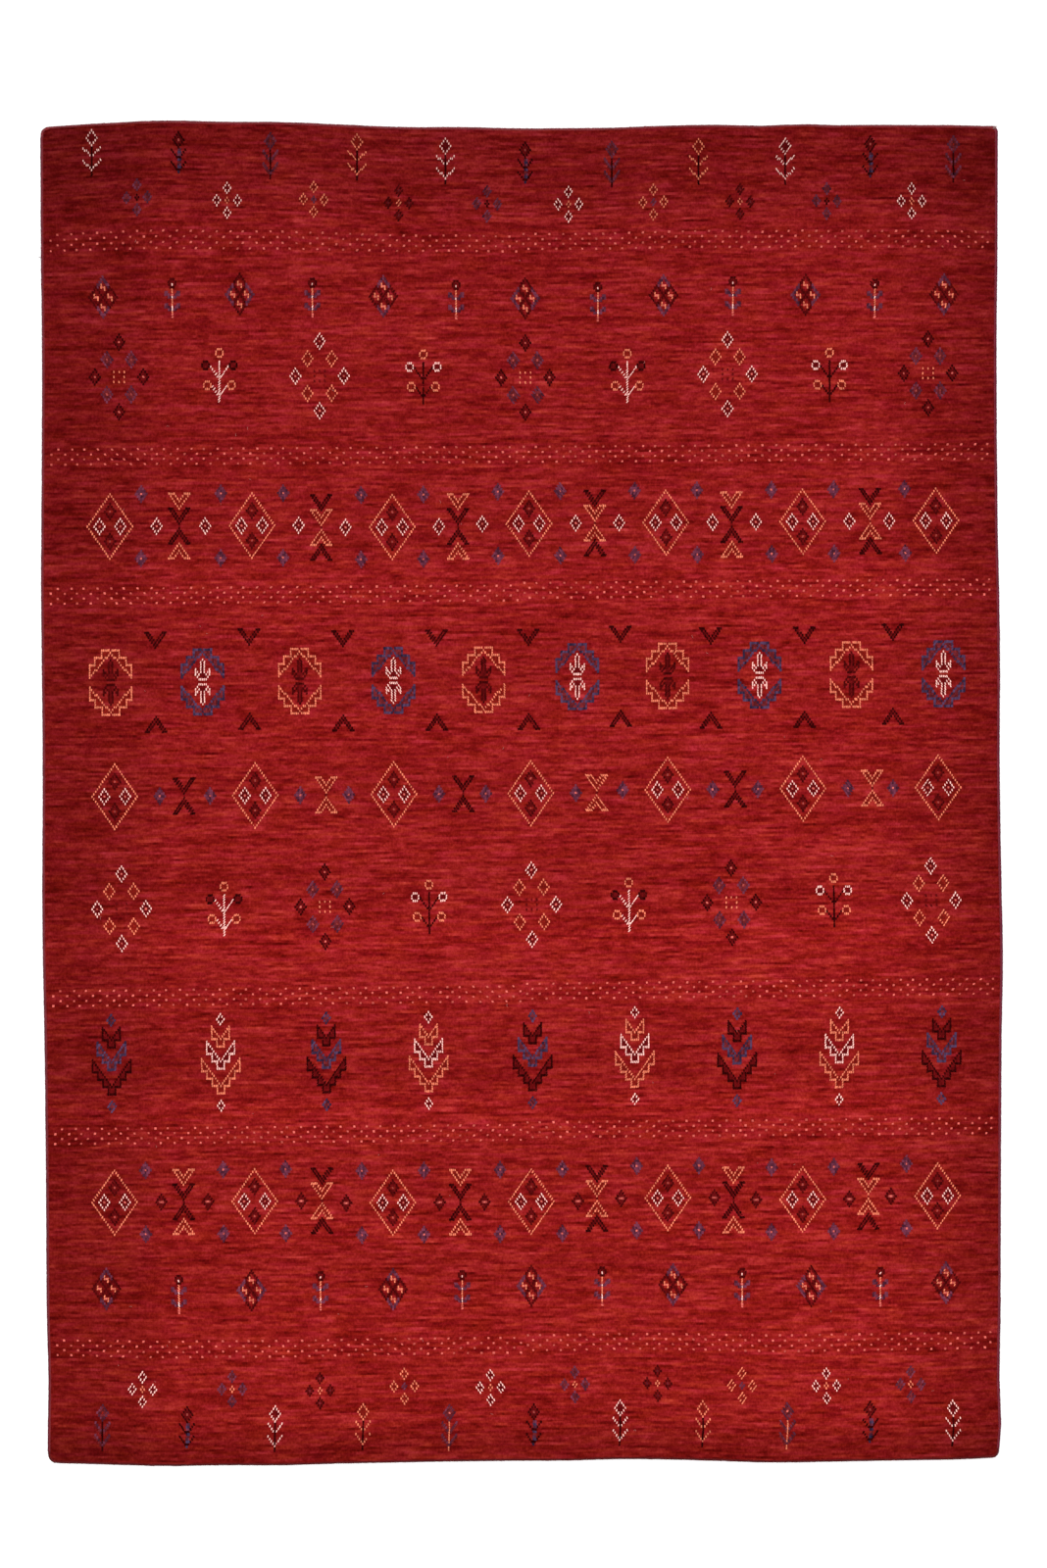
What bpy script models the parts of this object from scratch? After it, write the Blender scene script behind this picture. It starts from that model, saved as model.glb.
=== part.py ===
"""Hand-knotted wool rug lying flat: one knotted field of pile with an overcast cord
bound along each side and each end. Metres, +Z up, +Y along the length, top of the pattern at +Y.
The origin is under the middle of the rug, on the surface that it lies on."""

from math import ceil, cos, pi, sin

import bmesh
import bpy

# Driving dimensions
PILE_THICKNESS = 0.012
PILE_ROUNDING = 0.003
CORD_WIDTH = 0.006
CORD_HEIGHT = 0.008
PIECE_GAP = 0.0003

# Outline: how far the rug reaches at places along its length and its width
PLACE = 0
LEFT, RIGHT = 1, 2
SIDES = (
    # length, left, right
    (1.180, -0.8580, 0.8490),
    (0.960, -0.8570, 0.8482),
    (0.780, -0.8550, 0.8466),
    (0.470, -0.8562, 0.8488),
    (0.380, -0.8568, 0.8510),
    (0.230, -0.8554, 0.8530),
    (0.050, -0.8538, 0.8522),
    (-0.150, -0.8545, 0.8552),
    (-0.290, -0.8536, 0.8580),
    (-0.430, -0.8508, 0.8558),
    (-0.710, -0.8478, 0.8544),
    (-0.920, -0.8466, 0.8538),
    (-1.050, -0.8434, 0.8520),
    (-1.130, -0.8446, 0.8550),
    (-1.180, -0.8448, 0.8510),
)
BOTTOM, TOP = 1, 2
ENDS = (
    # width, bottom, top
    (0.845, -1.1860, 1.1910),
    (0.770, -1.1893, 1.1927),
    (0.630, -1.1915, 1.1932),
    (0.555, -1.1930, 1.1927),
    (0.500, -1.1942, 1.1946),
    (0.430, -1.1944, 1.1916),
    (0.345, -1.1914, 1.1934),
    (0.255, -1.1892, 1.1918),
    (0.170, -1.1884, 1.1883),
    (0.085, -1.1912, 1.1873),
    (0.000, -1.1915, 1.1869),
    (-0.110, -1.1925, 1.1893),
    (-0.210, -1.1942, 1.1893),
    (-0.330, -1.1966, 1.1943),
    (-0.430, -1.1995, 1.1984),
    (-0.530, -1.1992, 1.1988),
    (-0.640, -1.2010, 1.2010),
    (-0.760, -1.1974, 1.1955),
    (-0.845, -1.1955, 1.1898),
)

# Corner roundings; the top right one is square, and there the side cord runs up past the end cord
ROUND_BOTTOM_LEFT = 0.015
ROUND_BOTTOM_RIGHT = 0.012
ROUND_TOP_LEFT = 0.014
ROUND_PILE_TOP_RIGHT = 0.005

# Fineness
OUTLINE_STEP = 0.042
CORNER_SEGMENTS = 5
ROUNDING_SEGMENTS = 3
CORD_RESOLUTION = 2
CORD_LEAD = 0.005
MERGE_DISTANCE = 0.00001
LEVEL_FACING = 0.5

# Yarn colours, linear, with roughness
FIELD_RED = (0.26, 0.012, 0.011)
CORD_PLUM = (0.075, 0.014, 0.020)
WOOL_ROUGHNESS = 0.9

QUARTER = pi / 2


def smooth_value(table, column, place):
    """The table's column at a place, on a smooth curve through its rows."""
    rows = sorted(table)
    last = len(rows) - 1
    lower = 0
    while lower < last - 1 and rows[lower + 1][PLACE] <= place:
        lower += 1
    before = rows[max(lower - 1, 0)]
    start = rows[lower]
    end = rows[lower + 1]
    after = rows[min(lower + 2, last)]
    span = end[PLACE] - start[PLACE]
    slope_in = (end[column] - before[column]) / (end[PLACE] - before[PLACE])
    slope_out = (after[column] - start[column]) / (after[PLACE] - start[PLACE])
    t = (place - start[PLACE]) / span
    if t < 0:
        return start[column]
    if t > 1:
        return end[column]
    rise = t * t * (3 - 2 * t)
    bend_in = t * (1 - t) * (1 - t) * span * slope_in
    bend_out = t * t * (t - 1) * span * slope_out
    return start[column] + (end[column] - start[column]) * rise + bend_in + bend_out


def left(y):
    return smooth_value(SIDES, LEFT, y)


def right(y):
    return smooth_value(SIDES, RIGHT, y)


def bottom(x):
    return smooth_value(ENDS, BOTTOM, x)


def top(x):
    return smooth_value(ENDS, TOP, x)


def spread(start, end):
    """Even places from start to end, both included."""
    count = ceil(abs(end - start) / OUTLINE_STEP)
    return [start + (end - start) * index / count for index in range(count + 1)]


def corner_centre(x_edge, y_edge, x_side, y_side, rounding):
    """Centre of a corner's arc; the sides say towards which edges it turns, -1 or 1."""
    x_corner = x_edge(y_side * SIDES[0][PLACE])
    y_corner = y_edge(x_side * ENDS[0][PLACE])
    y = y_corner - y_side * rounding
    x = x_edge(y) - x_side * rounding
    return x if rounding else x_corner, y


def corner_arc(centre, radius, start):
    """A quarter turn, anticlockwise from the start angle."""
    points = []
    for index in range(CORNER_SEGMENTS + 1):
        angle = start + QUARTER * index / CORNER_SEGMENTS
        points.append((centre[0] + radius * cos(angle), centre[1] + radius * sin(angle)))
    return points


BOTTOM_LEFT = corner_centre(left, bottom, -1, -1, ROUND_BOTTOM_LEFT)
BOTTOM_RIGHT = corner_centre(right, bottom, 1, -1, ROUND_BOTTOM_RIGHT)
TOP_LEFT = corner_centre(left, top, -1, 1, ROUND_TOP_LEFT)
TOP_RIGHT = corner_centre(right, top, 1, 1, 0)


def run_left(inset, start, end):
    return [(left(y) + inset, y) for y in spread(start, end)]


def run_right(inset, start, end):
    return [(right(y) - inset, y) for y in spread(start, end)]


def run_bottom(inset, start, end):
    return [(x, bottom(x) + inset) for x in spread(start, end)]


def run_top(inset, start, end):
    return [(x, top(x) - inset) for x in spread(start, end)]


def pile_outline(inset):
    """The whole outline drawn in by the inset, anticlockwise from the lower left corner."""
    square = inset + ROUND_PILE_TOP_RIGHT
    corner = (right(TOP_RIGHT[1]) - square, top(TOP_RIGHT[0]) - square)
    points = corner_arc(BOTTOM_LEFT, ROUND_BOTTOM_LEFT - inset, 2 * QUARTER)
    points += run_bottom(inset, BOTTOM_LEFT[0], BOTTOM_RIGHT[0])[1:-1]
    points += corner_arc(BOTTOM_RIGHT, ROUND_BOTTOM_RIGHT - inset, 3 * QUARTER)
    points += run_right(inset, BOTTOM_RIGHT[1], corner[1])[1:-1]
    points += corner_arc(corner, ROUND_PILE_TOP_RIGHT, 0)
    points += run_top(inset, corner[0], TOP_LEFT[0])[1:-1]
    points += corner_arc(TOP_LEFT, ROUND_TOP_LEFT - inset, QUARTER)
    points += run_left(inset, TOP_LEFT[1], BOTTOM_LEFT[1])[1:-1]
    return points


def wool(name, colour):
    """Matt wool of one colour."""
    material = bpy.data.materials.new(name)
    material.use_nodes = True
    shader = material.node_tree.nodes["Principled BSDF"]
    shader.inputs["Base Color"].default_value = (*colour, 1)
    shader.inputs["Roughness"].default_value = WOOL_ROUGHNESS
    shader.inputs["Metallic"].default_value = 0
    material.diffuse_color = (*colour, 1)
    return material


def poly_curve(name, points, closed):
    """A curve object of straight steps through points in the ground plane."""
    curve = bpy.data.curves.new(name, "CURVE")
    spline = curve.splines.new("POLY")
    spline.points.add(len(points) - 1)
    for point, (x, y) in zip(spline.points, points):
        point.co = (x, y, 0, 1)
    spline.use_cyclic_u = closed
    obj = bpy.data.objects.new(name, curve)
    return obj


def solid_from_curve(obj, collection):
    """The curve's evaluated shape as a welded mesh object in its place."""
    scene = bpy.context.scene
    scene.collection.objects.link(obj)
    bpy.context.view_layer.update()
    depsgraph = bpy.context.evaluated_depsgraph_get()
    mesh = bpy.data.meshes.new_from_object(obj.evaluated_get(depsgraph))
    name = obj.name
    matrix = obj.matrix_world.copy()
    curve = obj.data
    bpy.data.objects.remove(obj)
    bpy.data.curves.remove(curve)
    shape = bmesh.new()
    shape.from_mesh(mesh)
    bmesh.ops.remove_doubles(shape, verts=shape.verts, dist=MERGE_DISTANCE)
    bmesh.ops.recalc_face_normals(shape, faces=shape.faces)
    shape.to_mesh(mesh)
    shape.free()
    solid = bpy.data.objects.new(name, mesh)
    solid.matrix_world = matrix
    collection.objects.link(solid)
    return solid


def make_pile_field(collection, material):
    """The knotted field: a flat slab with the rug's own outline and a softly rounded upper rim."""
    obj = poly_curve("pile_field", pile_outline(CORD_WIDTH + PIECE_GAP), True)
    obj.data.dimensions = "2D"
    obj.data.fill_mode = "BOTH"
    obj.data.extrude = PILE_THICKNESS / 2
    obj.location.z = PILE_THICKNESS / 2
    field = solid_from_curve(obj, collection)
    shape = bmesh.new()
    shape.from_mesh(field.data)
    for side in (-1, 1):
        level = [face for face in shape.faces if face.normal.z * side > LEVEL_FACING]
        bmesh.ops.dissolve_faces(shape, faces=level, use_verts=False)
    weight = shape.edges.layers.float.new("bevel_weight_edge")
    for edge in shape.edges:
        edge[weight] = 1.0 if is_upper_rim(edge) else 0.0
    shape.to_mesh(field.data)
    shape.free()
    rounding = field.modifiers.new("pile rim", "BEVEL")
    rounding.limit_method = "WEIGHT"
    rounding.width = PILE_ROUNDING
    rounding.segments = ROUNDING_SEGMENTS
    rounding.use_clamp_overlap = False
    field.data.materials.clear()
    field.data.materials.append(material)
    return field


def is_upper_rim(edge):
    """An edge between the slab's upper face and its wall."""
    tops = [face for face in edge.link_faces if face.normal.z > LEVEL_FACING]
    return len(tops) == 1


def make_cord(name, points, collection, material):
    """An overcast cord: a flattened tube along the rug's edge, resting on the floor."""
    obj = poly_curve(name, points, False)
    obj.data.dimensions = "3D"
    obj.data.bevel_depth = CORD_WIDTH / 2
    obj.data.bevel_resolution = CORD_RESOLUTION
    obj.data.use_fill_caps = True
    obj.scale.z = CORD_HEIGHT / CORD_WIDTH
    obj.location.z = CORD_HEIGHT / 2
    cord = solid_from_curve(obj, collection)
    cord.data.materials.clear()
    cord.data.materials.append(material)
    for face in cord.data.polygons:
        face.use_smooth = True
    return cord


def make_cords(collection, material):
    """Side cords between the corners, and end cords that turn the rounded corners and meet them
    face to face, a short lead past each turn."""
    inset = CORD_WIDTH / 2
    lead_left = BOTTOM_LEFT[1] + CORD_LEAD
    lead_right = BOTTOM_RIGHT[1] + CORD_LEAD
    lead_top = TOP_LEFT[1] - CORD_LEAD
    left_path = run_left(inset, lead_left + PIECE_GAP, lead_top - PIECE_GAP)
    make_cord("selvedge_left", left_path, collection, material)
    right_path = run_right(inset, lead_right + PIECE_GAP, top(TOP_RIGHT[0]))
    make_cord("selvedge_right", right_path, collection, material)
    bottom_path = [(left(lead_left) + inset, lead_left)]
    bottom_path += corner_arc(BOTTOM_LEFT, ROUND_BOTTOM_LEFT - inset, 2 * QUARTER)
    bottom_path += run_bottom(inset, BOTTOM_LEFT[0], BOTTOM_RIGHT[0])[1:-1]
    bottom_path += corner_arc(BOTTOM_RIGHT, ROUND_BOTTOM_RIGHT - inset, 3 * QUARTER)
    bottom_path += [(right(lead_right) - inset, lead_right)]
    make_cord("end_cord_bottom", bottom_path, collection, material)
    top_start = right(TOP_RIGHT[1]) - CORD_WIDTH - PIECE_GAP
    top_path = run_top(inset, top_start, TOP_LEFT[0])[:-1]
    top_path += corner_arc(TOP_LEFT, ROUND_TOP_LEFT - inset, QUARTER)
    top_path += [(left(lead_top) + inset, lead_top)]
    make_cord("end_cord_top", top_path, collection, material)


def clear_scene():
    for obj in list(bpy.data.objects):
        bpy.data.objects.remove(obj)


def main():
    clear_scene()
    rug = bpy.data.collections.new("oriental_rug")
    bpy.context.scene.collection.children.link(rug)
    make_pile_field(rug, wool("field wool", FIELD_RED))
    make_cords(rug, wool("cord wool", CORD_PLUM))


main()
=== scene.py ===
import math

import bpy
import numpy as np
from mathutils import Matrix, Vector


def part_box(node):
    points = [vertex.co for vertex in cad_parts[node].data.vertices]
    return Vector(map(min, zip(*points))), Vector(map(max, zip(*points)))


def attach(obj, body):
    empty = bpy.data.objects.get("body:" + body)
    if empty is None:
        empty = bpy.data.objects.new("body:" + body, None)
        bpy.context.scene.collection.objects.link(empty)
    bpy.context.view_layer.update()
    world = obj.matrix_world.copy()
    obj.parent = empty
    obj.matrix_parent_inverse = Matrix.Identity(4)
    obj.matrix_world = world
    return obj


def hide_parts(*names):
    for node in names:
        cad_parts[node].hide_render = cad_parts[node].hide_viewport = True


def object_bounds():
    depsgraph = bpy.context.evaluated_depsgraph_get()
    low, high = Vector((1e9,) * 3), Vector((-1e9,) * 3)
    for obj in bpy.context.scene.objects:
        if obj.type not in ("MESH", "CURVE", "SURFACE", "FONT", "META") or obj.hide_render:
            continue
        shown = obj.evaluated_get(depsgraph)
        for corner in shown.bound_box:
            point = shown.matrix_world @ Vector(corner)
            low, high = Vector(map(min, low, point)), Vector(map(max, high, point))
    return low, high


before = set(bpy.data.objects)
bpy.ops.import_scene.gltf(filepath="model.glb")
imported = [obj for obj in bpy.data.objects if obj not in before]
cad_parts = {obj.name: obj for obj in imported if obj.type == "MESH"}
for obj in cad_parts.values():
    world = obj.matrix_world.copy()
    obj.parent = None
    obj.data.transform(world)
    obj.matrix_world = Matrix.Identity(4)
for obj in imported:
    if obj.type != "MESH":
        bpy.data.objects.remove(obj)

# The looks of a hand-knotted wool rug lying flat: knotted pile, motifs in coloured yarns,
# overcast edges, and the plain pale floor, light and camera around it. Metres, as in the frame.
# Motifs are charted in knots: columns across to the right, rows along towards the top.

cad_low, cad_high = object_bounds()
rng = np.random.default_rng(7)

# Knots and pile
KNOT_COLUMNS = 548
KNOT_ROWS = 536
PILE_TOP = cad_high.z
PILE_UNDERSIDE = 0.0003
PILE_GRID_COLUMNS = 150
PILE_RELIEF = 0.00020
# How far the red ground lies under the pile's top, in the field and under the motifs
GROUND_DEPTH = 0.0003
MOTIF_DEPTH = 0.0006
MILLIMETRE = 0.001

# How the pile's rim bulges over the edge cords, from the flat top round to the floor
PILE_RIM = (
    # outward reach, height
    (0.0008, 0.0118),
    (0.0014, 0.0112),
    (0.0018, 0.0104),
    (0.0019, 0.0095),
    (0.0015, 0.0087),
    (0.0001, 0.0084),
    (0.0000, PILE_UNDERSIDE),
)
# The rim's unevenness, from this reach outward, and how much of it is up and down
RIM_UNEVENNESS = 0.00025
RIM_UNEVEN_FROM = 0.0005
RIM_RISE = 0.6

# Corners of the pile: which way each lies across and along, and its rounding
PILE_CORNERS = (
    # across, along, radius
    (-1, -1, 0.0107),
    (1, -1, 0.0057),
    (-1, 1, 0.0077),
    (1, 1, 0.0050),
)
EDGE_STRAIGHTNESS = 4.0

# The knot rows climb to the right, by this much along the rug for each metre across it
ROW_SLOPES = (
    # height along the rug, slope
    (-1.000, 0.0066), (-0.880, 0.0074), (-0.724, 0.0080), (-0.473, 0.0106), (-0.199, 0.0106),
    (0.004, 0.0080), (0.203, 0.0076), (0.481, 0.0073), (0.747, 0.0047), (0.889, 0.0035),
    (1.000, 0.0026),
)
# Rows nearer the ends than the second height follow the end's own uneven line
BOW_STARTS = 0.900
BOW_FULL = 1.030

WHITE, ORANGE, PINK, ROSE, RUST = "white", "orange", "pink", "rose", "rust"
VIOLET, PURPLE, BLUE = "violet", "purple", "blue"
DARK, DEEP, MAROON = "dark", "deep", "maroon"
# The yarn inside a small motif outlined in each yarn
FILLS = {WHITE: MAROON, ORANGE: RUST, VIOLET: PURPLE, BLUE: PURPLE, DARK: MAROON, DEEP: MAROON}


def blend(value, start, full):
    """0 before start, 1 past full, and a soft rise between them."""
    t = np.clip((value - start) / (full - start), 0, 1)
    return t * t * (3 - 2 * t)


def node_points(name):
    """The corner points of a CAD node's mesh."""
    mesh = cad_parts[name].data
    points = np.zeros(len(mesh.vertices) * 3, np.float32)
    mesh.vertices.foreach_get("co", points)
    return points.reshape(-1, 3).astype(float)


def find_pile_edges():
    """The pile's four edges as tables to read from: left and right by y, bottom and top by x."""
    points = node_points("pile_field")
    outline = np.unique(points[points[:, 2] < PILE_TOP / 2][:, :2].round(6), axis=0)
    outline = outline[np.argsort(np.arctan2(outline[:, 1], outline[:, 0]))]
    run = np.abs(np.roll(outline, -1, axis=0) - np.roll(outline, 1, axis=0))
    sides = outline[run[:, 1] > EDGE_STRAIGHTNESS * run[:, 0]]
    ends = outline[run[:, 0] > EDGE_STRAIGHTNESS * run[:, 1]]
    sides = sides[np.argsort(sides[:, 1])][:, ::-1]
    ends = ends[np.argsort(ends[:, 0])]
    return {
        "left": sides[sides[:, 1] < 0],
        "right": sides[sides[:, 1] > 0],
        "bottom": ends[ends[:, 1] < 0],
        "top": ends[ends[:, 1] > 0],
    }


PILE_EDGES = find_pile_edges()


def edge(name, place):
    """Where one edge of the pile lies at a place along it."""
    table = PILE_EDGES[name]
    return np.interp(place, table[:, 0], table[:, 1])


TOP_MIDDLE = edge("top", 0.0)
BOTTOM_MIDDLE = edge("bottom", 0.0)
WIDTH_MIDDLE = edge("right", 0.0) - edge("left", 0.0)
COLUMN_PITCH = WIDTH_MIDDLE / KNOT_COLUMNS
ROW_PITCH = (TOP_MIDDLE - BOTTOM_MIDDLE) / KNOT_ROWS


def round_corners(x, y):
    """Draws points in the corner squares in, so that the pile's corners are round."""
    for across, along, radius in PILE_CORNERS:
        x_edge = edge("right" if across > 0 else "left", y)
        y_edge = edge("top" if along > 0 else "bottom", x)
        a = 1 - across * (x_edge - x) / radius
        b = 1 - along * (y_edge - y) / radius
        inside = (a > 0) & (b > 0)
        a = np.clip(a, 0, 1)
        b = np.clip(b, 0, 1)
        x_round = x_edge - across * radius * (1 - a * np.sqrt(1 - b * b / 2))
        y_round = y_edge - along * radius * (1 - b * np.sqrt(1 - a * a / 2))
        x = np.where(inside, x_round, x)
        y = np.where(inside, y_round, y)
    return x, y


def lie(column, row):
    """Where a place in the knotting lies, in metres: knots from the left edge and the bottom."""
    height = BOTTOM_MIDDLE + np.asarray(row, float) * ROW_PITCH
    across = (np.asarray(column, float) / KNOT_COLUMNS - 0.5) * WIDTH_MIDDLE
    near_top = blend(height, BOW_STARTS, BOW_FULL)
    near_bottom = blend(-height, BOW_STARTS, BOW_FULL)
    slopes = np.array(ROW_SLOPES)
    slope = np.interp(height, slopes[:, 0], slopes[:, 1])
    y = height + (1 - near_top - near_bottom) * slope * across
    y = y + near_top * (edge("top", across) - TOP_MIDDLE)
    y = y + near_bottom * (edge("bottom", across) - BOTTOM_MIDDLE)
    left = edge("left", y)
    x = left + (edge("right", y) - left) * np.asarray(column, float) / KNOT_COLUMNS
    return round_corners(x, y)


def column_at(place, row):
    """The knot column nearest a place across the rug, in metres, on a row."""
    middle = BOTTOM_MIDDLE + row * ROW_PITCH
    left = edge("left", middle)
    return round(KNOT_COLUMNS * (place - left) / (edge("right", middle) - left) - 0.5)


def row_at(height):
    """The knot row nearest a height along the rug's middle, in metres."""
    return round((height - BOTTOM_MIDDLE) / ROW_PITCH - 0.5)


# Charts: each motif fills a chart, {(column, row): yarn}, about its own middle


def line(chart, start, end, yarn):
    """A run of knots from start to end, both included."""
    steps = max(abs(end[0] - start[0]), abs(end[1] - start[1]), 1)
    for step in range(steps + 1):
        x = start[0] + (end[0] - start[0]) * step / steps
        y = start[1] + (end[1] - start[1]) * step / steps
        chart[math.floor(x + 0.5), math.floor(y + 0.5)] = yarn


def filled_diamond(chart, x, y, size, yarn):
    for dx in range(-size, size + 1):
        dy = size - abs(dx)
        line(chart, (x + dx, y - dy), (x + dx, y + dy), yarn)


def diamond(chart, x, y, size, yarn, dot=None):
    """An open diamond of knots."""
    for dx in range(-size, size + 1):
        dy = size - abs(dx)
        chart[x + dx, y + dy] = yarn
        chart[x + dx, y - dy] = yarn
    if dot:
        chart[x, y] = dot


def eye(chart, x, y, size, yarn, dot=None):
    """A small diamond, filled, and with a dot in its middle."""
    filled_diamond(chart, x, y, size - 1, FILLS[yarn])
    diamond(chart, x, y, size, yarn, dot)


def twin_lines(chart, corners, yarn):
    """Runs of knots from corner to corner, and the same on the motif's other side."""
    for start, end in zip(corners, corners[1:]):
        line(chart, start, end, yarn)
        line(chart, (-start[0], start[1]), (-end[0], end[1]), yarn)


def flower(yarn, stem, reach, dot=None):
    chart = {}
    line(chart, (0, 2), (0, -10), stem)
    eye(chart, 0, 5, 3, yarn, dot)
    if yarn == VIOLET:
        twin_lines(chart, ((reach, 0), (1, -3)), PURPLE)
        twin_lines(chart, ((reach, -5), (1, -8)), PURPLE)
    twin_lines(chart, ((reach, 1), (1, -2)), yarn)
    twin_lines(chart, ((reach, -4), (0, -8)), yarn)
    return chart


def dark_flower(reach):
    """The dark flower has a broad violet stem with dark joints."""
    chart = {}
    eye(chart, 0, 5, 3, DARK, ROSE)
    twin_lines(chart, ((reach, 1), (1, -2)), DARK)
    twin_lines(chart, ((reach, -4), (1, -7)), DARK)
    stem = (VIOLET, BLUE, VIOLET, DARK, BLUE, PURPLE, VIOLET, BLUE, DARK)
    for down, yarn in enumerate(stem):
        line(chart, (0, 1 - down), (1, 1 - down), yarn)
    chart[0, -8] = BLUE
    return chart


def quatrefoil(yarn, heart, dot=None):
    chart = {}
    for x, y in ((6, 0), (-6, 0), (0, 5), (0, -5)):
        eye(chart, x, y, 2, yarn, dot)
    eye(chart, 0, 0, 1, heart)
    return chart


def lozenge(ends, sides):
    """A lozenge in four cells; its outline has one yarn at the ends and one at the sides."""
    chart = {}
    for x, y in ((4, 0), (-4, 0), (0, 4), (0, -4)):
        diamond(chart, x, y, 3, MAROON)
        line(chart, (x - 1, y), (x - 1, y + 1), ORANGE)
        line(chart, (x + 1, y - 1), (x + 1, y), ORANGE)
        chart[x, y] = PINK
    for size in (7, 8):
        for dx in range(-size, size + 1):
            dy = size - abs(dx)
            yarn = ends if dy > abs(dx) else sides
            yarn = MAROON if size == 7 and yarn == DEEP else yarn
            chart[dx, dy] = yarn
            chart[dx, -dy] = yarn
    for step in range(-3, 4):
        chart[step, step] = DEEP
        chart[step, -step] = DEEP
    return chart


def plant():
    chart = {}
    for y in (1, -4):
        twin_lines(chart, ((2, y), (4, y + 2)), VIOLET)
        twin_lines(chart, ((1, y), (3, y + 2)), VIOLET)
        twin_lines(chart, ((4, y + 1), (4, y + 2)), VIOLET)
    line(chart, (0, 4), (0, -5), ORANGE)
    chart[0, 2] = PINK
    chart[0, 1] = WHITE
    line(chart, (0, -3), (0, -4), WHITE)
    line(chart, (0, -6), (0, -7), PINK)
    berry(chart, 0, 6, DEEP, MAROON)
    chart[0, 6] = WHITE
    return chart


def rosette(mains, main_dot, diagonals, diagonal_dot, heart):
    chart = {}
    for x, y in ((14, 0), (-14, 0), (0, 14), (0, -14)):
        eye(chart, x, y, 3, mains, main_dot)
    for x, y in ((7, 7), (-7, 7), (7, -7), (-7, -7)):
        eye(chart, x, y, 3, diagonals, diagonal_dot)
    for x, y in ((3, 2), (3, 0), (3, -2), (0, 2), (0, -2)):
        chart[x, y] = heart
        chart[-x, y] = heart
    return chart


def berry(chart, x, y, yarn, middle):
    """A small round berry, five knots wide and four high."""
    for step in (-1, 0, 1):
        chart[x + step, y + 2] = yarn
        chart[x + step, y - 1] = yarn
        line(chart, (x + step, y), (x + step, y + 1), middle)
    for far in (-2, 2):
        chart[x + far, y] = yarn
        chart[x + far, y + 1] = yarn


def tree(stem, upper):
    chart = {}
    line(chart, (0, 5), (0, -11), stem)
    twin_lines(chart, ((1, -1), (5, 3)), stem)
    twin_lines(chart, ((1, -8), (5, -4)), stem)
    berry(chart, 0, 8, ORANGE, RUST)
    for side in (-1, 1):
        berry(chart, side * 8, 3, upper, MAROON)
        berry(chart, side * 7, -5, ORANGE, RUST)
    return chart


def large_diamond():
    chart = {}
    diamond(chart, 0, 0, 13, ORANGE)
    for side in (-1, 1):
        eye(chart, side * 6, 0, 3, WHITE, PINK)
        eye(chart, 0, side * 6, 3, DEEP)
        line(chart, (-1, side * 6), (1, side * 6), RUST)
        chart[0, side * 6] = ROSE
    return chart


def small_diamond(yarn):
    chart = {}
    if yarn == VIOLET:
        filled_diamond(chart, 0, 0, 3, VIOLET)
    else:
        eye(chart, 0, 0, 3, yarn)
    if yarn == DEEP:
        line(chart, (-1, 0), (1, 0), ROSE)
    chart[0, 0] = PINK
    return chart


def chevron(chart, top, way, yarn):
    """A broad V from its open end down (way -1), or its mirror up (way 1); dark arms are narrower."""
    middle, arm = (MAROON, 2) if yarn == DARK else (RUST, 3)
    for depth in range(7):
        reach = 6 - depth
        for x in range(-reach, reach + 1):
            inner = reach - arm
            if abs(x) == reach or abs(x) == inner or (depth == 0 and abs(x) > inner):
                chart[x, top + way * depth] = yarn
            elif abs(x) > inner:
                chart[x, top + way * depth] = middle


def chevron_column(outer, inner):
    chart = {(0, 0): MAROON}
    chevron(chart, 13, -1, outer)
    chevron(chart, 7, -1, inner)
    chevron(chart, -7, 1, inner)
    chevron(chart, -13, 1, outer)
    return chart


def chevron_cross(yarn):
    chart = {(0, 0): MAROON}
    chevron(chart, 7, -1, yarn)
    chevron(chart, -7, 1, yarn)
    return chart


def chevron_pair():
    chart = {}
    chevron(chart, 20, -1, DARK)
    chevron(chart, -20, 1, DARK)
    return chart


def medallion(outline, figure):
    """A stepped wreath in two halves round a small two-way figure."""
    half = {}
    for out, high in ((5, 13), (9, 10), (12, 7)):
        for x in range(1, out + 1):
            low = round(12 - x * 5 / 6)
            if high > low:
                twin_lines(half, ((x, low), (x, high)), FILLS[outline])
    twin_lines(half, ((1, 13), (5, 13), (5, 10), (9, 10), (9, 7), (12, 7), (12, 2)), outline)
    twin_lines(half, ((0, 12), (12, 2)), outline)
    line(half, (0, 8), (0, 2), MAROON)
    line(half, (-2, 3), (2, 3), MAROON)
    line(half, (-1, 2), (1, 2), MAROON)
    half[0, 9] = figure
    twin_lines(half, ((1, 8), (1, 4)), figure)
    twin_lines(half, ((4, 5), (4, 3), (3, 2), (2, 1), (0, 1)), figure)
    twin_lines(half, ((3, 4), (2, 3)), figure)
    chart = dict(half)
    for (x, y), yarn in half.items():
        chart[x, -y] = yarn
    return chart


def bracket(chart, reach, top, yarn, middle):
    """A pointed bowl: straight slopes inside, and steps three knots wide outside."""
    corners = [(reach, top)]
    low = top - 5
    for x in range(reach, 1, -3):
        corners += [(x, low), (max(x - 3, 0), low)]
        low -= 3
    for x in range(reach):
        floor = top - 5 - 3 * (math.ceil((reach - x) / 3) - 1)
        slope = top - reach + x
        if slope - 1 > floor:
            twin_lines(chart, ((x, floor + 1), (x, slope - 1)), middle)
    twin_lines(chart, corners, yarn)
    twin_lines(chart, ((reach, top), (0, top - reach)), yarn)


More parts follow.
